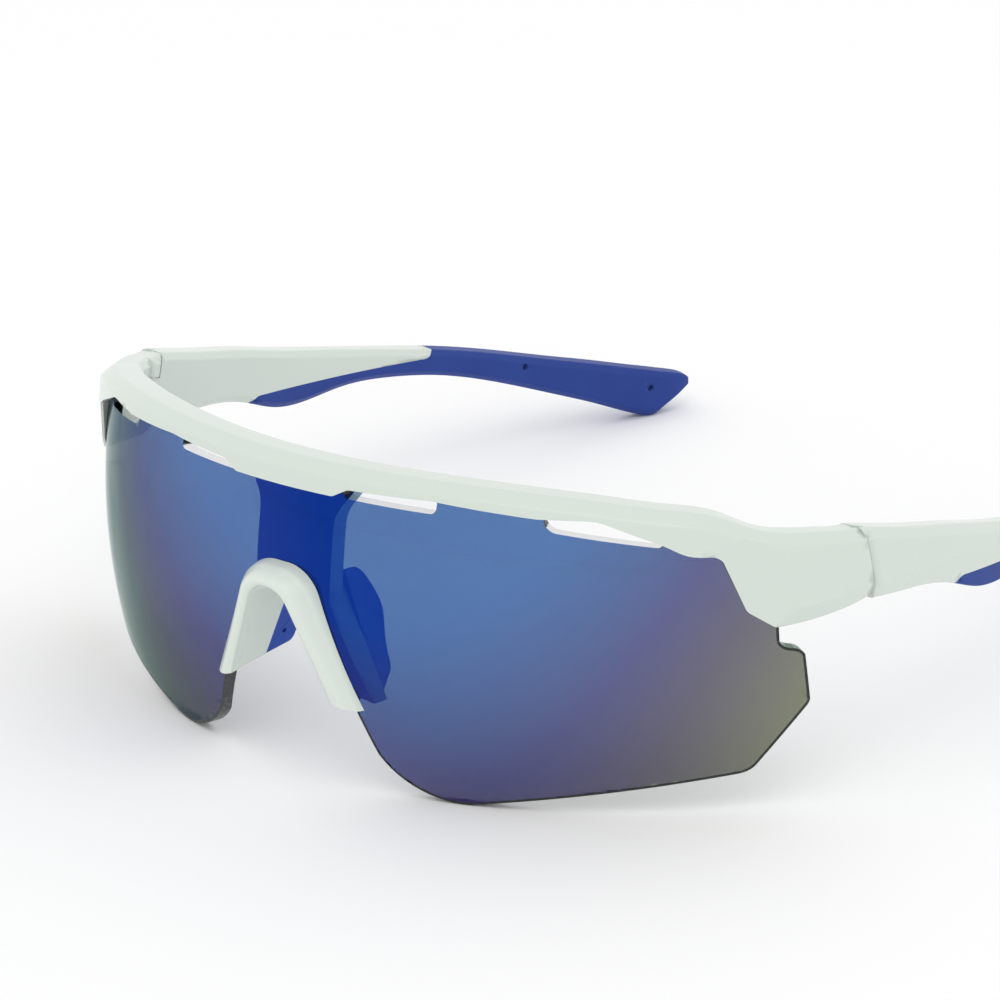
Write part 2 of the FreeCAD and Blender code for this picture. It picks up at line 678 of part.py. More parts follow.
def bridge_wire(out, back):
    """Outline across the bridge front: out runs from the opening to the rim, back from ridge to lens."""
    rim = LENS_CUT_RADIUS + NOSE_FLANGE_OVERLAP
    rim_top = NOSE_CENTRE + LENS_CUT_RADIUS + NOSE_FLANGE_TOP_OVERLAP
    inner_top = NOSE_CENTRE + NOSE_INNER_RADIUS
    peak = v_peak(NOSE_INNER_RADIUS)
    peak += (v_peak(rim) - peak) * out
    top = inner_top + (rim_top - inner_top) * out
    corner = 0.9 * NOSE_INNER_RADIUS
    corner += (NOSE_FLANGE_CORNER_RADIUS - corner) * out
    slope = math.tan(math.radians(NOSE_HALF_ANGLE))
    low = NOSE_BOTTOM - 8.0
    ridge_lean = math.tan(math.radians(NOSE_RIDGE_LEAN))
    rim_lean = math.tan(math.radians(NOSE_FLANGE_LEAN))

    def place(u, v):
        ridge = (inner_top - v) * ridge_lean - NOSE_RIDGE
        flange = (rim_top - v) * rim_lean + lens_back_at(rim_top, 0.0)
        return V(u, ridge + (flange - ridge) * back, v)

    return rounded_wire([
        (-(peak - low) * slope, low, 0.0),
        (-(peak - top) * slope, top, corner),
        ((peak - top) * slope, top, corner),
        ((peak - low) * slope, low, 0.0),
    ], place)


BRIDGE_PROFILE = ((-0.08, 0.2), (0.06, 0.04), (0.2, 0.0), (0.46, 0.1), (0.76, 0.46), (1.0, 1.0))


def make_nose_bridge():
    """White saddle through the nose cut-out, its rounded front falling from a ridge to the lens."""
    front = Part.makeLoft([bridge_wire(out, back) for out, back in BRIDGE_PROFILE], True, False)
    front = front.fuse(Part.makeLoft([bridge_wire(1.0, 1.0), bridge_wire(1.0, 2.2)], True, True))
    front = front.common(lens_sheet(30.0, NOSE_FLANGE_GAP))
    wall = v_prism(NOSE_OUTER_RADIUS, -NOSE_RIDGE - 5.0, NOSE_WALL_BACK)
    hidden = Part.makeLoft([bridge_wire(2.0, 0.7), bridge_wire(2.0, 8.0)], True, True)
    opening = v_prism(NOSE_INNER_RADIUS, -30.0, 90.0)
    bridge = wall.common(hidden).fuse(front).cut(foot_cutter()).cut(opening)
    return bridge.removeSplitter()


def make_strut():
    """Blue strut behind the lens, from the brow down to the saddle round the nose bridge."""
    clear = LENS_THICKNESS + LENS_GROOVE_CLEARANCE
    half = STRUT_HALF_WIDTH
    top = BROW_LOWER_EDGE
    plate = front_prism([
        (-half - STRUT_FLARE, top, 0.0),
        (half + STRUT_FLARE, top, 0.0),
        (half, top - 4.2, 5.0),
        (half, NOSE_CENTRE - 2.0, 0.0),
        (-half, NOSE_CENTRE - 2.0, 0.0),
        (-half, top - 4.2, 5.0),
    ])
    plate = plate.common(lens_sheet(-clear, -clear - STRUT_THICKNESS))
    return plate.fuse(make_saddle(clear)).cut(v_prism(NOSE_OUTER_RADIUS, -30.0, 90.0)).fuse(
        tenon(0.0)).removeSplitter()


def make_saddle(clear):
    """Arch over the nose bridge, its feet spreading to the pads, still filled."""
    spread = math.tan(math.radians(SADDLE_SPREAD))
    radius = NOSE_OUTER_RADIUS + SADDLE_WALL
    low = NOSE_BOTTOM - 8.0
    peak = v_peak(radius)
    top = NOSE_CENTRE + radius
    slope = math.tan(math.radians(NOSE_HALF_ANGLE))
    foot = (v_peak(NOSE_OUTER_RADIUS + SADDLE_FOOT_WALL) - NOSE_BOTTOM) * slope

    def outline(slant, start, y):
        wide = start + (NOSE_BOTTOM - low) * slant
        narrow = start - (top - NOSE_BOTTOM) * slant
        corners = [(-wide, low, 0.0), (-narrow, top, 0.6 * narrow)]
        corners += [(narrow, top, 0.6 * narrow), (wide, low, 0.0)]
        return rounded_wire(corners, lambda u, v: V(u, y, v))

    front = outline(slope, (peak - NOSE_BOTTOM) * slope, 0.0)
    back = outline(spread, foot, NOSE_WALL_BACK)
    saddle = Part.makeLoft([front, back], True, True)
    return saddle.common(lens_sheet(-clear, -40.0)).cut(foot_cutter())


def make_pad():
    """Nose pad on the +x side: a leaf that carries the bridge wall on towards the back."""
    slant = math.radians(NOSE_HALF_ANGLE)
    outer = v_peak(NOSE_INNER_RADIUS) + PAD_THICKNESS / math.sin(slant)
    back = NOSE_WALL_BACK
    foot = NOSE_BOTTOM + back * math.tan(math.radians(NOSE_FOOT_RISE))
    through = V(-math.cos(slant), 0, -math.sin(slant))

    def place(u, v):
        return V((outer - v) * math.tan(slant), u, v)

    leaf = rounded_wire([
        (back, foot, 0.0),
        (back + PAD_LENGTH * 0.785, foot + 1.8, 1.6),
        (back + PAD_LENGTH, (foot + PAD_TOP) / 2.0 + 0.6, 6.0),
        (back + PAD_LENGTH * 0.58, PAD_TOP - 0.2, 3.0),
        (back, PAD_TOP, 0.0),
    ], place)
    pad = Part.Face(leaf).extrude(through * PAD_THICKNESS)
    inner = place(back + 0.43 * PAD_LENGTH, foot + 4.0) + through * (PAD_THICKNESS + 0.3)
    return pad.cut(Part.makeCylinder(0.45, 1.3, inner, through * -1.0))


def lowest(shape):
    """Lowest point of a piece."""
    box = shape.optimalBoundingBox(False, False)
    level = Part.makePlane(600, 600, V(-300, -300, box.ZMin - 1.0))
    touch = level.distToShape(shape)[1][0][1]
    return touch.y, box.ZMin


def rest_placement(pieces):
    """Tip the set back until lens and temple tips stand on one level, then centre it."""
    angle = 0.0
    for _ in range(4):
        turn = FreeCAD.Placement(V(0, 0, 0), FreeCAD.Rotation(V(1, 0, 0), angle))
        lows = []
        for name in ("lens_shield", "temple_tip_left"):
            piece = pieces[name].copy()
            piece.Placement = turn.multiply(piece.Placement)
            lows.append(lowest(piece))
        (y0, z0), (y1, z1) = lows
        angle -= math.degrees(math.atan2(z1 - z0, y1 - y0))
    turn = FreeCAD.Placement(V(0, 0, 0), FreeCAD.Rotation(V(1, 0, 0), angle))
    whole = Part.makeCompound(list(pieces.values()))
    whole.Placement = turn.multiply(whole.Placement)
    box = whole.optimalBoundingBox(False, False)
    shift = FreeCAD.Placement(V(0, -(box.YMin + box.YMax) / 2.0, -box.ZMin), FreeCAD.Rotation())
    return shift.multiply(turn)


def make_pieces():
    """Every piece by node name, in drawing position."""
    hinge = Hinge()
    temple, tip = make_temple_pair(hinge)
    screw = make_screw(hinge)
    pad = make_pad()
    return {
        "brow_frame": make_brow(hinge),
        "lens_shield": make_lens(),
        "nose_bridge": make_nose_bridge(),
        "nose_strut": make_strut(),
        "nose_pad_left": pad,
        "nose_pad_right": mirror(pad),
        "temple_left": temple,
        "temple_right": mirror(temple),
        "temple_tip_left": tip,
        "temple_tip_right": mirror(tip),
        "hinge_screw_left": screw,
        "hinge_screw_right": mirror(screw),
    }


def main():
    """Build the set, stand it on the table and write one STEP file per node."""
    os.makedirs("parts", exist_ok=True)
    pieces = make_pieces()
    rest = rest_placement(pieces)
    for name, shape in pieces.items():
        shape.Placement = rest.multiply(shape.Placement)
        shape.exportStep("parts/" + name + ".step")
        box = shape.BoundBox
        print(name, shape.ShapeType, len(shape.Solids), shape.isValid(), round(shape.Volume, 1),
              [round(v, 1) for v in (box.XMin, box.XMax, box.YMin, box.YMax, box.ZMin, box.ZMax)])
    print("rest", rest)
    return rest


REST = main()
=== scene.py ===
"""Looks of the shield sunglasses: gloss white half frame, mirrored shield and blue rubber."""

import logging
import math
from dataclasses import dataclass, field
from enum import Enum

import bmesh
import bpy
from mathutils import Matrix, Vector

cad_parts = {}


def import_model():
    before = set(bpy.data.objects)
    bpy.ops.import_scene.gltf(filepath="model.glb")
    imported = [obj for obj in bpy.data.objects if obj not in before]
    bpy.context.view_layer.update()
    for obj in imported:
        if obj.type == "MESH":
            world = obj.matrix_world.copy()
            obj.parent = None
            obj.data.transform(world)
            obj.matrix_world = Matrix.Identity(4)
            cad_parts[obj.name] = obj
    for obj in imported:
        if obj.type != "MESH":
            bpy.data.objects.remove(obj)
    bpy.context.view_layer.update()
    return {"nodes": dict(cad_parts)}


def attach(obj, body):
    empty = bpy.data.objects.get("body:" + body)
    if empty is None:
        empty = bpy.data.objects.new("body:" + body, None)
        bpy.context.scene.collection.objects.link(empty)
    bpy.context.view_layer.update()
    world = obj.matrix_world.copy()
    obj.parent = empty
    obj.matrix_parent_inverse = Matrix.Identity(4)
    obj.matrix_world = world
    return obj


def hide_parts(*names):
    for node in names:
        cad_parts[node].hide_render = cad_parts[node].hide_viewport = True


log = logging.getLogger("sunglasses")

Colour = tuple[float, float, float]
MM = 0.001


class Body(Enum):
    """The bodies that the pieces ride on."""

    FRONT = "front"
    ARM_LEFT = "arm_left"
    ARM_RIGHT = "arm_right"


class Slot(Enum):
    """The record's finish slots, by name; the pieces here don't use them."""

    WHITE = "white_frame"
    BLUE = "blue_rubber"
    MIRROR = "lens_mirror"


class Side(Enum):
    """The wearer's two sides, with the sign of x on each."""

    LEFT = 1
    RIGHT = -1

    @property
    def word(self) -> str:
        """The side as it stands in the nodes' names."""
        return self.name.lower()

    @property
    def arm(self) -> Body:
        """The temple arm on this side."""
        return Body.ARM_LEFT if self is Side.LEFT else Body.ARM_RIGHT


def linear(red: int, green: int, blue: int) -> Colour:
    """Turns a screen colour into the linear one that shaders take.

    Args:
        red: Red from 0 to 255.
        green: Green from 0 to 255.
        blue: Blue from 0 to 255.

    Returns:
        The linear colour, each part from 0 to 1.
    """
    parts = []
    for value in (red, green, blue):
        share = value / 255.0
        parts.append(share / 12.92 if share <= 0.04045 else ((share + 0.055) / 1.055) ** 2.4)
    return (parts[0], parts[1], parts[2])


def opaque(colour: Colour) -> tuple[float, float, float, float]:
    """Adds a full alpha to a colour."""
    return (*colour, 1.0)


def paler(colour: Colour, factor: float) -> Colour:
    """Lightens a linear colour by a factor."""
    return (factor * colour[0], factor * colour[1], factor * colour[2])


class Shader:
    """A node material with one main surface node, and short ways to add to it."""

    NOISE_MIDDLE = (0.2, 0.8)

    def __init__(self, name: str) -> None:
        """Starts an empty node material.

        Args:
            name: The material's name.
        """
        self.material = bpy.data.materials.new(name)
        self.material.use_nodes = True
        self.tree = self.material.node_tree
        self.surface = self.tree.nodes["Principled BSDF"]

    def set(self, **values: float | Colour) -> None:
        """Sets sockets of the surface node, with _ for the spaces in their names.

        Args:
            **values: Each socket's name and its value; a colour gets its alpha here.
        """
        for name, value in values.items():
            socket = self.surface.inputs[name.replace("_", " ")]
            socket.default_value = opaque(value) if isinstance(value, tuple) else value

    def node(self, kind: str, **settings: object) -> bpy.types.Node:
        """Adds a node.

        Args:
            kind: The node's type without the ShaderNode before it.
            **settings: Properties of the node, or values of its sockets by their names.

        Returns:
            The new node.
        """
        made = self.tree.nodes.new("ShaderNode" + kind)
        for name, value in settings.items():
            if hasattr(made, name):
                setattr(made, name, value)
            else:
                made.inputs[name.replace("_", " ")].default_value = value
        return made

    def link(self, start: bpy.types.NodeSocket, end: bpy.types.NodeSocket | str) -> None:
        """Links two sockets.

        Args:
            start: The output.
            end: The input, or the name of one on the surface node.
        """
        if isinstance(end, str):
            end = self.surface.inputs[end]
        self.tree.links.new(start, end)

    def place(self) -> bpy.types.NodeSocket:
        """Gives the object's own coordinates, in metres."""
        return self.node("TexCoord").outputs["Object"]

    def noise(self, scale: float, detail: float = 3.0) -> bpy.types.NodeSocket:
        """Adds a noise over the object.

        Args:
            scale: Ripples per metre.
            detail: How many finer layers it has.

        Returns:
            The noise's value, from 0 to 1.
        """
        texture = self.node("TexNoise", Scale=scale, Detail=detail)
        self.link(self.place(), texture.inputs["Vector"])
        return texture.outputs["Fac"]

    def spread(
        self, value: bpy.types.NodeSocket, low: float, high: float
    ) -> bpy.types.NodeSocket:
        """Stretches a noise's middle over a range.

        Args:
            value: The noise.
            low: What the middle's lower end becomes.
            high: What the middle's upper end becomes.

        Returns:
            The stretched value.
        """
        start, end = self.NOISE_MIDDLE
        span = self.node("MapRange", From_Min=start, From_Max=end, To_Min=low, To_Max=high)
        span.interpolation_type = "SMOOTHSTEP"
        self.link(value, span.inputs["Value"])
        return span.outputs["Result"]

    def blend(
        self, share: bpy.types.NodeSocket, first: object, second: object
    ) -> bpy.types.NodeSocket:
        """Mixes two colours.

        Args:
            share: 0 gives the first and 1 the second.
            first: A colour or a colour output.
            second: A colour or a colour output.

        Returns:
            The mixed colour.
        """
        mix = self.node("Mix", data_type="RGBA")
        self.link(share, mix.inputs[0])
        for socket, colour in ((mix.inputs[6], first), (mix.inputs[7], second)):
            if isinstance(colour, tuple):
                socket.default_value = opaque(colour)
            else:
                self.link(colour, socket)
        return mix.outputs[2]

    def relief(self, height: bpy.types.NodeSocket, depth: float) -> None:
        """Gives the surface a fine relief.

        Args:
            height: The relief's height, from 0 to 1.
            depth: What a height of 1 is, in metres.
        """
        bump = self.node("Bump", Strength=1.0, Distance=depth)
        self.link(height, bump.inputs["Height"])
        self.link(bump.outputs["Normal"], "Normal")


@dataclass(frozen=True)
class GlossWhite:
    """Injection moulded nylon, white with a green cast, under a clear gloss."""

    name: str = "gloss_white"
    light: Colour = linear(212, 222, 213)
    shade: Colour = linear(208, 218, 209)
    roughness: tuple[float, float] = (0.23, 0.29)
    gloss: float = 0.35
    gloss_roughness: float = 0.08
    specular: float = 0.45
    flow_scale: float = 12.0
    flow_detail: float = 0.0

    def material(self) -> bpy.types.Material:
        """Makes the finish.

        Returns:
            The material.
        """
        shader = Shader(self.name)
        shader.set(
            Coat_Weight=self.gloss,
            Coat_Roughness=self.gloss_roughness,
            Specular_IOR_Level=self.specular,
        )
        flow = shader.noise(self.flow_scale, self.flow_detail)
        shader.link(shader.blend(flow, self.light, self.shade), "Base Color")
        shader.link(shader.spread(flow, *self.roughness), "Roughness")
        return shader.material


@dataclass(frozen=True)
class SatinRubber:
    """Overmoulded blue rubber with a fine eroded grain."""

    name: str = "satin_blue_rubber"
    light: Colour = linear(38, 66, 146)
    shade: Colour = linear(33, 59, 135)
    roughness: tuple[float, float] = (0.41, 0.52)
    specular: float = 0.22
    cloud_scale: float = 60.0
    grain_scale: float = 5200.0
    grain_detail: float = 2.0
    grain_depth: float = 0.02 * MM

    def material(self) -> bpy.types.Material:
        """Makes the finish.

        Returns:
            The material.
        """
        shader = Shader(self.name)
        shader.set(Specular_IOR_Level=self.specular)
        cloud = shader.spread(shader.noise(self.cloud_scale), 0.0, 1.0)
        shader.link(shader.blend(cloud, self.light, self.shade), "Base Color")
        grain = shader.noise(self.grain_scale, self.grain_detail)
        shader.link(shader.spread(grain, *self.roughness), "Roughness")
        shader.relief(grain, self.grain_depth)
        return shader.material


@dataclass(frozen=True)
class Band:
    """One colour of the coating, and how far it is from the top middle to the outer corner."""

    at: float
    mirrored: Colour
    passed: Colour


@dataclass(frozen=True)
class MirrorCoat:
    """The shield's front: a coating that turns from blue over violet to olive.

    As on every such film, the colours move along and grow pale where it is seen at a slant.
    """

    name: str = "mirror_coat"
    # The turn from blue over violet to olive is the coating's own; the bands from 0.48 on are also
    # painted lighter, a painted lift against the floor's shadow seen through the lower lens.
    bands: tuple[Band, ...] = (
        Band(0.20, (0.0056, 0.039, 0.316), (0.58, 0.98, 1.00)),
        Band(0.34, (0.026, 0.040, 0.240), (0.53, 0.80, 0.92)),
        Band(0.48, (0.046, 0.036, 0.200), (0.55, 0.63, 0.69)),
        Band(0.66, (0.086, 0.076, 0.150), (0.58, 0.58, 0.48)),
        Band(0.95, (0.150, 0.150, 0.100), (0.74, 0.82, 0.60)),
    )
    half_width: float = 68.0 * MM
    top: float = 46.0 * MM
    side_bend: float = 3.0
    side_share: float = 0.66
    drop_share: float = 0.45
    slant_share: float = 0.42
    slant: tuple[float, float] = (0.2, 0.85)
    slant_blend: float = 0.5
    cover: float = 0.8
    slant_cover: float = 0.9
    haze: Colour = (0.70, 0.60, 0.60)
    haze_share: float = 0.10
    rim_tint: Colour = (0.44, 0.57, 0.60)
    roughness: float = 0.05

    def material(self) -> bpy.types.Material:
        """Makes the finish.

        Returns:
            The material.
        """
        shader = Shader(self.name)
        shader.set(Metallic=1.0, Roughness=self.roughness, Specular_Tint=self.rim_tint)
        way = self.way(shader)
        hazy = self.slanted(shader, 0.0, self.haze_share)
        mirrored = self.ramp(shader, way, [band.mirrored for band in self.bands])
        shader.link(shader.blend(hazy, mirrored, self.haze), "Base Color")
        clear = shader.node("BsdfTransparent")
        passed = self.ramp(shader, way, [band.passed for band in self.bands])
        shader.link(passed, clear.inputs["Color"])
        mix = shader.node("MixShader")
        shader.link(self.slanted(shader, self.cover, self.slant_cover), mix.inputs[0])
        shader.link(clear.outputs[0], mix.inputs[1])
        shader.link(shader.surface.outputs[0], mix.inputs[2])
        output = shader.tree.nodes["Material Output"]
        shader.link(mix.outputs[0], output.inputs["Surface"])
        return shader.material

    def way(self, shader: Shader) -> bpy.types.NodeSocket:
        """Measures how far a point is from the top middle to the outer lower corner.

        Args:
            shader: The material that the nodes go into.

        Returns:
            The way, from 0 to about 1.
        """
        apart = shader.node("SeparateXYZ")
        shader.link(shader.place(), apart.inputs[0])
        wide = shader.node("Math", operation="ABSOLUTE")
        shader.link(apart.outputs["X"], wide.inputs[0])
        side = shader.node("MapRange", From_Max=self.half_width)
        shader.link(wide.outputs[0], side.inputs["Value"])
        bent = shader.node("Math", operation="POWER")
        bent.inputs[1].default_value = self.side_bend
        shader.link(side.outputs["Result"], bent.inputs[0])
        drop = shader.node("MapRange", From_Min=self.top, From_Max=0.0, To_Max=self.drop_share)
        shader.link(apart.outputs["Z"], drop.inputs["Value"])
        total = shader.node("Math", operation="MULTIPLY_ADD")
        total.inputs[1].default_value = self.side_share
        shader.link(bent.outputs[0], total.inputs[0])
        shader.link(drop.outputs["Result"], total.inputs[2])
        moved = shader.node("Math", operation="ADD")
        shader.link(total.outputs[0], moved.inputs[0])
        shader.link(self.slanted(shader, 0.0, self.slant_share), moved.inputs[1])
        return moved.outputs[0]

    def slanted(self, shader: Shader, straight: float, glancing: float) -> bpy.types.NodeSocket:
        """Runs a value from where the film is seen straight on to where it is seen at a slant.

        Args:
            shader: The material that the nodes go into.
            straight: The value seen straight on.
            glancing: The value seen at a slant.

        Returns:
            The value.
        """
        film = shader.node("LayerWeight", Blend=self.slant_blend)
        low, high = self.slant
        span = shader.node(
            "MapRange", From_Min=low, From_Max=high, To_Min=straight, To_Max=glancing
        )
        shader.link(film.outputs["Facing"], span.inputs["Value"])
        return span.outputs["Result"]

    def ramp(
        self, shader: Shader, way: bpy.types.NodeSocket, colours: list[Colour]
    ) -> bpy.types.NodeSocket:
        """Turns the way into the coating's colour.

        Args:
            shader: The material that the nodes go into.
            way: The way from the top middle to the outer lower corner.
            colours: A colour for each band.

        Returns:
            The colour.
        """
        node = shader.node("ValToRGB")
        node.color_ramp.interpolation = "LINEAR"
        stops = node.color_ramp.elements
        for band in self.bands[1:-1]:
            stops.new(band.at)
        for stop, band, colour in zip(stops, self.bands, colours):
            stop.position = band.at
            stop.color = opaque(colour)
        shader.link(way, node.inputs[0])
        return node.outputs[0]


@dataclass(frozen=True)
class SmokeFace:
    """The shield's back: the bare smoke of the tinted sheet."""

    name: str = "smoke_back"
    tint: Colour = (0.02, 0.024, 0.03)
    cover: float = 0.12
    roughness: float = 0.06
    specular: float = 0.5
    cloud_scale: float = 40.0
    cloud_lift: float = 1.3

    def material(self) -> bpy.types.Material:
        """Makes the finish.

        Returns:
            The material.
        """
        shader = Shader(self.name)
        shader.set(
            Roughness=self.roughness, Alpha=self.cover, Specular_IOR_Level=self.specular
        )
        cloud = shader.spread(shader.noise(self.cloud_scale), 0.0, 1.0)
        lifted = paler(self.tint, self.cloud_lift)
        shader.link(shader.blend(cloud, self.tint, lifted), "Base Color")
        return shader.material


@dataclass(frozen=True)
class SmokeEdge:
    """The shield's cut edge: dark from outside, and clear where it is seen through the sheet."""

    name: str = "smoke_edge"
    tint: Colour = linear(30, 34, 33)
    inside_cover: float = 0.12
    roughness: tuple[float, float] = (0.2, 0.32)
    specular: float = 0.4
    line_scale: float = 900.0
    line_detail: float = 2.0
    line_lift: float = 1.5

    def material(self) -> bpy.types.Material:
        """Makes the finish.

        Returns:
            The material.
        """
        shader = Shader(self.name)
        shader.set(Specular_IOR_Level=self.specular)
        lines = shader.noise(self.line_scale, self.line_detail)
        lifted = paler(self.tint, self.line_lift)
        shader.link(shader.blend(lines, self.tint, lifted), "Base Color")
        shader.link(shader.spread(lines, *self.roughness), "Roughness")
        cover = shader.node("MapRange", To_Min=1.0, To_Max=self.inside_cover)
        shader.link(shader.node("NewGeometry").outputs["Backfacing"], cover.inputs["Value"])
        shader.link(cover.outputs["Result"], "Alpha")
        return shader.material


@dataclass(frozen=True)
class TurnedSteel:
    """The hinge screws' bright turned steel."""

    name: str = "turned_steel"
    light: Colour = (0.62, 0.62, 0.60)
    shade: Colour = (0.50, 0.50, 0.49)
    roughness: tuple[float, float] = (0.22, 0.36)
    mark_scale: float = 3000.0
    mark_depth: float = 0.004 * MM

    def material(self) -> bpy.types.Material:
        """Makes the finish.

        Returns:
            The material.
        """
        shader = Shader(self.name)
        shader.set(Metallic=1.0)
        marks = shader.noise(self.mark_scale)
        shader.link(shader.blend(marks, self.light, self.shade), "Base Color")
        shader.link(shader.spread(marks, *self.roughness), "Roughness")
        shader.relief(marks, self.mark_depth)
        return shader.material


class Finishes:
    """Every finish, made once and shared by the pieces."""

    def __init__(self) -> None:
        """Makes the materials."""
        self.white = GlossWhite().material()
        # Painted light: a lighter copy of the gloss white for the nose bridge, lifting it against
        # the shade that falls on it.
        self.bridge = GlossWhite(
            name="bridge_white_painted_lift", light=linear(220, 229, 220), shade=linear(216, 225, 216)
        ).material()
        self.rubber = SatinRubber().material()
        self.pad = SatinRubber(
            name="soft_pad_rubber", light=linear(30, 76, 178), shade=linear(27, 70, 167)
        ).material()
        # Painted light: a much paler copy of the blue rubber for the strut's sideways faces, so
        # they read lighter than its front, as if they caught more light.
        self.painted_lit_flank = SatinRubber(
            name="strut_side_painted_light", light=linear(150, 190, 224), shade=linear(142, 182, 217)
        ).material()
        self.coat = MirrorCoat().material()
        self.smoke = SmokeFace().material()
        self.edge = SmokeEdge().material()
        self.steel = TurnedSteel().material()


@dataclass
class Workshop:
    """The loaded frame and the finishes, which every sub-assembly works with."""

    nodes: dict[str, bpy.types.Object]
    finishes: Finishes
    crease: float = math.radians(32.0)
    weld: float = 0.002 * MM

    def dress(self, node: str, finish: bpy.types.Material) -> None:
        """Gives a node that keeps its shape a finish.

        Args:
            node: The node's name.
            finish: The material.
        """
        mesh = self.nodes[node].data
        mesh.materials.clear()
        mesh.materials.append(finish)
        log.info("%s dressed with %s", node, finish.name)

    def copy(self, node: str) -> bmesh.types.BMesh:
        """Copies a node's mesh with its loose triangles merged.

        Args:
            node: The node's name.

        Returns:
            The merged mesh.
        """
        mesh = bmesh.new()
        mesh.from_mesh(self.nodes[node].data)
        bmesh.ops.remove_doubles(mesh, verts=mesh.verts[:], dist=self.weld)
        return mesh

    def recast(
        self, name: str, node: str, body: Body, finish: bpy.types.Material
    ) -> bpy.types.Object:
        """Makes a piece with a node's own shape, joined up and smooth between its creases.

        Args:
            name: The piece's name.
            node: The node that it replaces.
            body: The body that it rides on.
            finish: The material.

        Returns:
            The piece.
        """
        mesh = self.copy(node)
        for face in mesh.faces:
            face.smooth = True
        piece = self.stand_for(name, node, mesh, body)
        piece.data.materials.append(finish)
        piece.data.set_sharp_from_angle(angle=self.crease)
        even = piece.modifiers.new("even_normals", "WEIGHTED_NORMAL")
        even.keep_sharp = True
        return piece

    def stand_for(
        self, name: str, node: str, mesh: bmesh.types.BMesh, body: Body
    ) -> bpy.types.Object:
        """Makes a piece that stands for a node.

        Args:
            name: The piece's name.
            node: The node that it replaces.
            mesh: Its finished mesh, which is freed.
            body: The body that it rides on.

        Returns:
            The piece.
        """
        data = bpy.data.meshes.new(name)
        mesh.to_mesh(data)
        mesh.free()
        piece = bpy.data.objects.new(name, data)
        bpy.context.scene.collection.objects.link(piece)
        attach(piece, body.value)
        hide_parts(node)
        log.info("%s stands for %s", name, node)
        return piece


class Layer(Enum):
    """The lens's surfaces, by the place of their finish on the piece."""

    FRONT = 0
    BACK = 1
    EDGE = 2
    VENT = 3
    LEDGE = 4


@dataclass
class Shield:
    """The one-piece lens: mirror in front, smoke behind and dark at its cut edge.

    The axis is the upright line that the sheet curves round, and what faces away from it is front.
    """

    node: str = "lens_shield"
    axis: Vector = field(default_factory=lambda: Vector((0.0, 0.0031, 0.0)))
    facing: float = 0.6
    vent_level: float = 38.0 * MM
    rim_width: float = 0.42 * MM
    smooth: float = math.radians(30.0)

    def build(self, shop: Workshop) -> None:
        """Builds the lens and finishes its faces.

        Args:
            shop: The frame and the finishes.
        """
        mesh = shop.copy(self.node)
        for face in mesh.faces:
            face.material_index = self.layer(face).value
            face.smooth = True
        self.paint_rim_shade(mesh)
        piece = shop.stand_for("shield_mirror", self.node, mesh, Body.FRONT)
        coat, smoke, edge = shop.finishes.coat, shop.finishes.smoke, shop.finishes.edge
        finish = {
            Layer.FRONT: coat,
            Layer.BACK: smoke,
            Layer.EDGE: edge,
            Layer.VENT: smoke,
            Layer.LEDGE: coat,
        }
        for layer in Layer:
            piece.data.materials.append(finish[layer])
        piece.data.set_sharp_from_angle(angle=self.smooth)

    def layer(self, face: bmesh.types.BMFace) -> Layer:
        """Finds which of the lens's surfaces a face is on.

        Args:
            face: The face.

        Returns:
            The surface.
        """
        centre = face.calc_center_median()
        outward = centre - self.axis
        outward.z = 0.0
        turned = face.normal.dot(outward.normalized())
        if turned > self.facing:
            return Layer.FRONT
        if turned < -self.facing:
            return Layer.BACK
        if face.normal.z > self.facing:
            return Layer.VENT if centre.z > self.vent_level else Layer.LEDGE
        return Layer.EDGE

    def paint_rim_shade(self, mesh: bmesh.types.BMesh) -> None:
        """Paints a narrow band along the front's rim dark, a painted shade for the dark look of a
        bevelled lens edge, and closes the band at the vents.

        Args:
            mesh: The lens with its faces sorted.
        """
        front = [face for face in mesh.faces if face.material_index == Layer.FRONT.value]
        made = bmesh.ops.inset_region(
            mesh, faces=front, thickness=self.rim_width, use_boundary=True, use_even_offset=True
        )
        band = set(made["faces"])
        coated = band.union(front)
        closed = {}
        for face in band:
            face.smooth = True
            # Below the vents the band takes the dark edge finish: painted shade along the rim.
            if face.calc_center_median().z < self.vent_level:
                face.material_index = Layer.EDGE.value
        for edge in {edge for face in band for edge in face.edges}:
            outer = [point for point in edge.verts if not coated.issuperset(point.link_faces)]
            if len(outer) == 1 and outer[0].co.z > self.vent_level:
                closed[edge.other_vert(outer[0])] = outer[0]
        bmesh.ops.weld_verts(mesh, targetmap=closed)


@dataclass
class HalfFrame:
    """The white brow bar with its lugs, and the nose bridge on the lens."""

    body: Body = Body.FRONT

    def build(self, shop: Workshop) -> None:
        """Builds the white front pieces.

        Args:
            shop: The frame and the finishes.
        """
        finishes = shop.finishes
        shop.recast("brow_shell", "brow_frame", self.body, finishes.white)
        # The bridge takes the lighter white, painted light against its shade.
        shop.recast("bridge_shell", "nose_bridge", self.body, finishes.bridge)


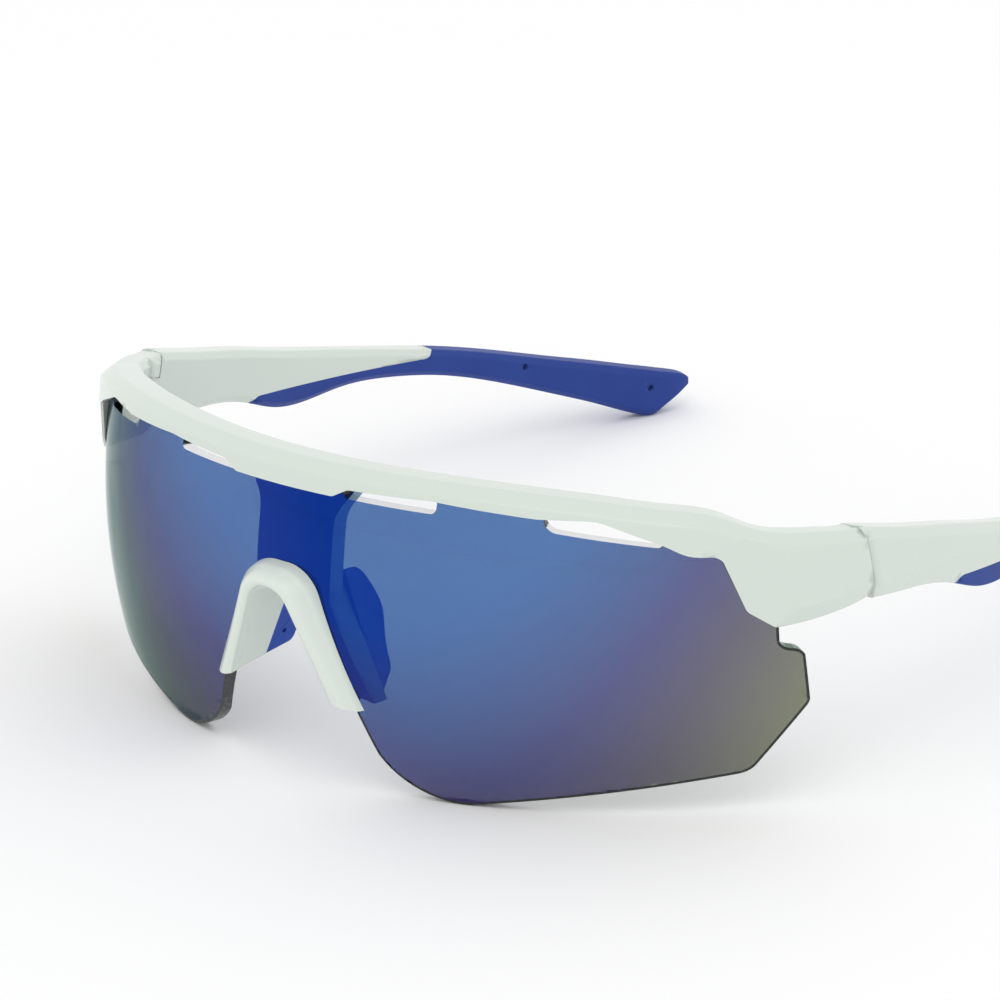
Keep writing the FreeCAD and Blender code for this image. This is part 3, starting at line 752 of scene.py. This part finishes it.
@dataclass
class NosePiece:
    """The blue strut behind the lens and its two soft pads, thick at the strut and thin behind."""

    across: Vector = field(default_factory=lambda: Vector((0.9205, 0.0210, 0.3901)))
    back: Vector = field(default_factory=lambda: Vector((0.0, 0.9986, -0.0536)))
    root: float = 4.0 * MM
    rim: float = 1.5 * MM
    foot_drop: float = 1.9 * MM
    foot_lift: float = 0.9 * MM
    sway: float = 0.9 * MM
    sway_bias: float = 0.4
    flat: float = math.radians(0.5)
    straight: tuple[float, float] = (3.0 * MM, 5.0 * MM)
    straight_cuts: int = 6
    round_off: float = 0.45 * MM
    round_steps: int = 3
    rim_angle: float = math.radians(40.0)
    speck: float = 0.02 * MM
    root_facing: float = 0.95
    flank_facing: float = 0.6

    def build(self, shop: Workshop) -> None:
        """Builds the blue nose pieces.

        Args:
            shop: The frame and the finishes.
        """
        finishes = shop.finishes
        strut = shop.recast("strut_blade", "nose_strut", Body.FRONT, finishes.rubber)
        # Painted light: faces turned sideways get the paler rubber, so the strut's sides read as
        # lit.
        strut.data.materials.append(finishes.painted_lit_flank)
        for face in strut.data.polygons:
            face.material_index = int(abs(face.normal.x) > self.flank_facing)
        for side in Side:
            self.build_pad(shop, side)

    def build_pad(self, shop: Workshop, side: Side) -> None:
        """Builds one pad, a leaf that is full at the strut and thin at its free rim.

        Args:
            shop: The frame and the finishes.
            side: The wearer's side.
        """
        node = f"nose_pad_{side.word}"
        mesh = shop.copy(node)
        bmesh.ops.dissolve_limit(
            mesh, angle_limit=self.flat, verts=mesh.verts[:], edges=mesh.edges[:]
        )
        short, long = self.straight
        straight = [edge for edge in mesh.edges if short < edge.calc_length() < long]
        bmesh.ops.subdivide_edges(mesh, edges=straight, cuts=self.straight_cuts)
        self.swell(mesh, side)
        rims = [edge for edge in mesh.edges if self.is_rim(edge)]
        bmesh.ops.bevel(
            mesh,
            geom=rims,
            offset=self.round_off,
            affect="EDGES",
            segments=self.round_steps,
            profile=0.5,
            material=-1,
            clamp_overlap=True,
        )
        for face in mesh.faces:
            face.smooth = True
        name = f"pad_leaf_{side.word}"
        piece = shop.stand_for(name, node, mesh, Body.FRONT)
        piece.data.materials.append(shop.finishes.pad)
        piece.data.set_sharp_from_angle(angle=shop.crease)

    def swell(self, mesh: bmesh.types.BMesh, side: Side) -> None:
        """Thickens a pad towards the strut, sways its rear rim and levels its foot.

        Args:
            mesh: The pad, an even leaf.
            side: The wearer's side.
        """
        across = Vector((side.value * self.across.x, self.across.y, self.across.z))
        out = {point: point.co.dot(across) for point in mesh.verts}
        deep = {point: point.co.dot(self.back) for point in mesh.verts}
        inner, outer = min(out.values()), max(out.values())
        front, length = min(deep.values()), max(deep.values()) - min(deep.values())
        low = min(point.co.z for point in mesh.verts)
        tall = max(point.co.z for point in mesh.verts) - low
        for point in mesh.verts:
            share = (out[point] - inner) / (outer - inner)
            near = 1.0 - (deep[point] - front) / length
            high = (point.co.z - low) / tall
            below = max(0.0, 1.0 - 2.0 * high)
            bend = self.sway * (self.sway_bias + math.sin(math.tau * high))
            point.co -= self.back * (bend * (1.0 - near))
            thick = self.rim + (self.root - self.rim) * near
            move = self.foot_lift - share * (self.foot_lift + self.foot_drop)
            point.co += across * (share * (thick - (outer - inner)))
            point.co.z += move * near * below

    def is_rim(self, edge: bmesh.types.BMEdge) -> bool:
        """Finds whether an edge is on a pad's long rim, and not where it meets the strut.

        Args:
            edge: The edge.

        Returns:
            Whether it is rounded off.
        """
        if not edge.is_manifold or edge.calc_face_angle() < self.rim_angle:
            return False
        if edge.calc_length() < self.speck:
            return False
        return all(
            abs(face.normal.dot(self.back)) < self.root_facing for face in edge.link_faces
        )


@dataclass
class Temple:
    """One arm: the white bar, its blue tip and the screw that it turns on."""

    side: Side

    def build(self, shop: Workshop) -> None:
        """Builds the arm's pieces.

        Args:
            shop: The frame and the finishes.
        """
        word = self.side.word
        finishes = shop.finishes
        arm = self.side.arm
        shop.recast(f"arm_bar_{word}", f"temple_{word}", arm, finishes.white)
        shop.recast(f"arm_grip_{word}", f"temple_tip_{word}", arm, finishes.rubber)
        shop.dress(f"hinge_screw_{word}", finishes.steel)


@dataclass
class Studio:
    """The pale floor, the soft light all round and the camera."""

    floor_half: float = 6.0
    floor_colour: Colour = (0.97, 0.97, 0.97)
    floor_roughness: float = 0.9
    fill: float = 0.97
    lamp_spot: tuple[float, float, float] = (0.6, -0.8, 1.6)
    lamp_size: float = 1.2
    lamp_power: float = 3.5
    eye: tuple[float, float, float] = (0.417995, -0.525068, 0.274498)
    turn: tuple[float, float, float] = (69.1404, 1.9512, 39.3640)
    lens: float = 165.6
    sensor: float = 36.0
    nearest: float = 0.01

    def build(self) -> None:
        """Builds the studio."""
        self.lay_floor()
        self.light_world()
        self.hang_lamp()
        self.set_camera()

    def lay_floor(self) -> None:
        """Lays the floor under the glasses."""
        mesh = bmesh.new()
        bmesh.ops.create_grid(mesh, x_segments=1, y_segments=1, size=self.floor_half)
        data = bpy.data.meshes.new("floor")
        mesh.to_mesh(data)
        mesh.free()
        floor = bpy.data.objects.new("floor", data)
        bpy.context.scene.collection.objects.link(floor)
        shader = Shader("floor_white")
        shader.set(
            Base_Color=self.floor_colour, Roughness=self.floor_roughness, Specular_IOR_Level=0.0
        )
        data.materials.append(shader.material)
        log.info("floor laid")

    def light_world(self) -> None:
        """Lights the room evenly, and shows it white to the camera and to gloss."""
        world = bpy.data.worlds.new("room")
        bpy.context.scene.world = world
        world.use_nodes = True
        tree = world.node_tree
        ground = tree.nodes["Background"]
        ground.inputs["Color"].default_value = opaque((1.0, 1.0, 1.0))
        path = tree.nodes.new("ShaderNodeLightPath")
        seen = path.outputs["Is Camera Ray"]
        for name in ("Is Glossy Ray", "Is Transmission Ray"):
            either = tree.nodes.new("ShaderNodeMath")
            either.operation = "MAXIMUM"
            tree.links.new(seen, either.inputs[0])
            tree.links.new(path.outputs[name], either.inputs[1])
            seen = either.outputs[0]
        strength = tree.nodes.new("ShaderNodeMapRange")
        strength.inputs["To Min"].default_value = self.fill
        strength.inputs["To Max"].default_value = 1.0
        tree.links.new(seen, strength.inputs["Value"])
        tree.links.new(strength.outputs["Result"], ground.inputs["Strength"])

    def hang_lamp(self) -> None:
        """Hangs the soft lamp that points at the glasses."""
        data = bpy.data.lights.new("key", "AREA")
        data.size = self.lamp_size
        data.energy = self.lamp_power
        lamp = bpy.data.objects.new("key", data)
        lamp.location = self.lamp_spot
        lamp.rotation_euler = (-Vector(self.lamp_spot)).to_track_quat("-Z", "Y").to_euler()
        bpy.context.scene.collection.objects.link(lamp)

    def set_camera(self) -> None:
        """Sets the camera where the photograph was taken from."""
        data = bpy.data.cameras.new("camera")
        data.lens = self.lens
        data.sensor_width = self.sensor
        data.clip_start = self.nearest
        camera = bpy.data.objects.new("camera", data)
        camera.location = self.eye
        camera.rotation_euler = [math.radians(angle) for angle in self.turn]
        bpy.context.scene.collection.objects.link(camera)
        bpy.context.scene.camera = camera


def main() -> None:
    """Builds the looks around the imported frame."""
    logging.basicConfig(level=logging.INFO, format="%(name)s: %(message)s")
    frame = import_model()
    bpy.context.scene.view_settings.view_transform = "Standard"
    shop = Workshop(frame["nodes"], Finishes())
    assemblies = [HalfFrame(), Shield(), NosePiece(), Temple(Side.LEFT), Temple(Side.RIGHT)]
    for assembly in assemblies:
        assembly.build(shop)
    Studio().build()


if __name__ == "__main__":
    main()
